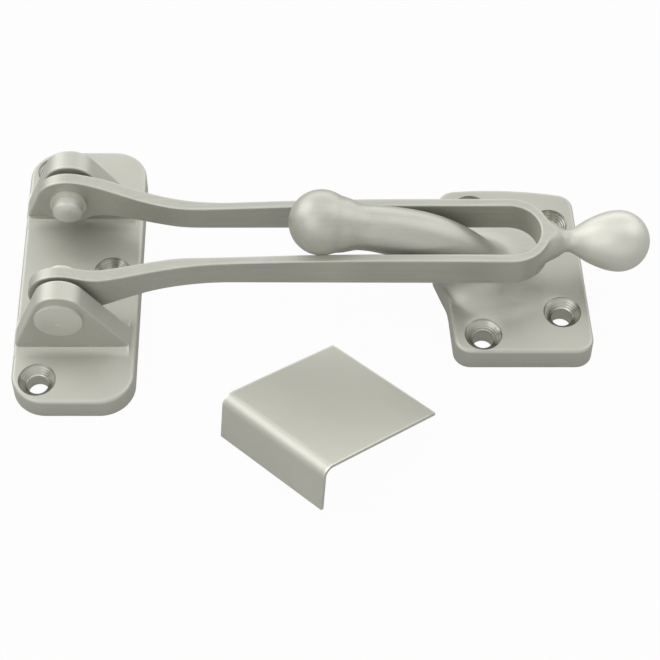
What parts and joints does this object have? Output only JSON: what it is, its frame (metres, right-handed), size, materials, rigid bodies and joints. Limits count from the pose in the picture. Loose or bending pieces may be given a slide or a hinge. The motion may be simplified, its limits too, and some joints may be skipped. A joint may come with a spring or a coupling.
{
  "type": "door guard",
  "caption": "Swing bar door guard: a looped bar pivots on a hinge plate and passes over a ball-ended hook on its own plate, with a folded edge guard.",
  "frame": {"origin": "centre of the hinge plate's back face", "axes": "+X along the closed bar towards the hook plate, +Z out of the plates' back faces, +Y to the back"},
  "size_m": [0.1655, 0.1155, 0.0366],
  "materials": {
    "satin_nickel": "satin nickel plate",
    "pin_nickel": "satin nickel plate",
    "sheet_nickel": "satin nickel plate on sheet"
  },
  "bodies": {
    "base": {"hinge_plate": "satin_nickel", "pivot_pin_front": "pin_nickel", "pivot_pin_back": "pin_nickel", "washer_front": "pin_nickel", "washer_back": "pin_nickel", "hook_plate": "satin_nickel", "edge_guard": "sheet_nickel"},
    "bar": {"swing_bar": "satin_nickel"}
  },
  "joints": [
    {"name": "bar_pivot", "type": "hinge", "parent": "base", "child": "bar", "pos_m": [-0.003, 0, 0.019], "axis": [0, -1, 0], "range_deg": [-2.2, 0]}
  ]
}
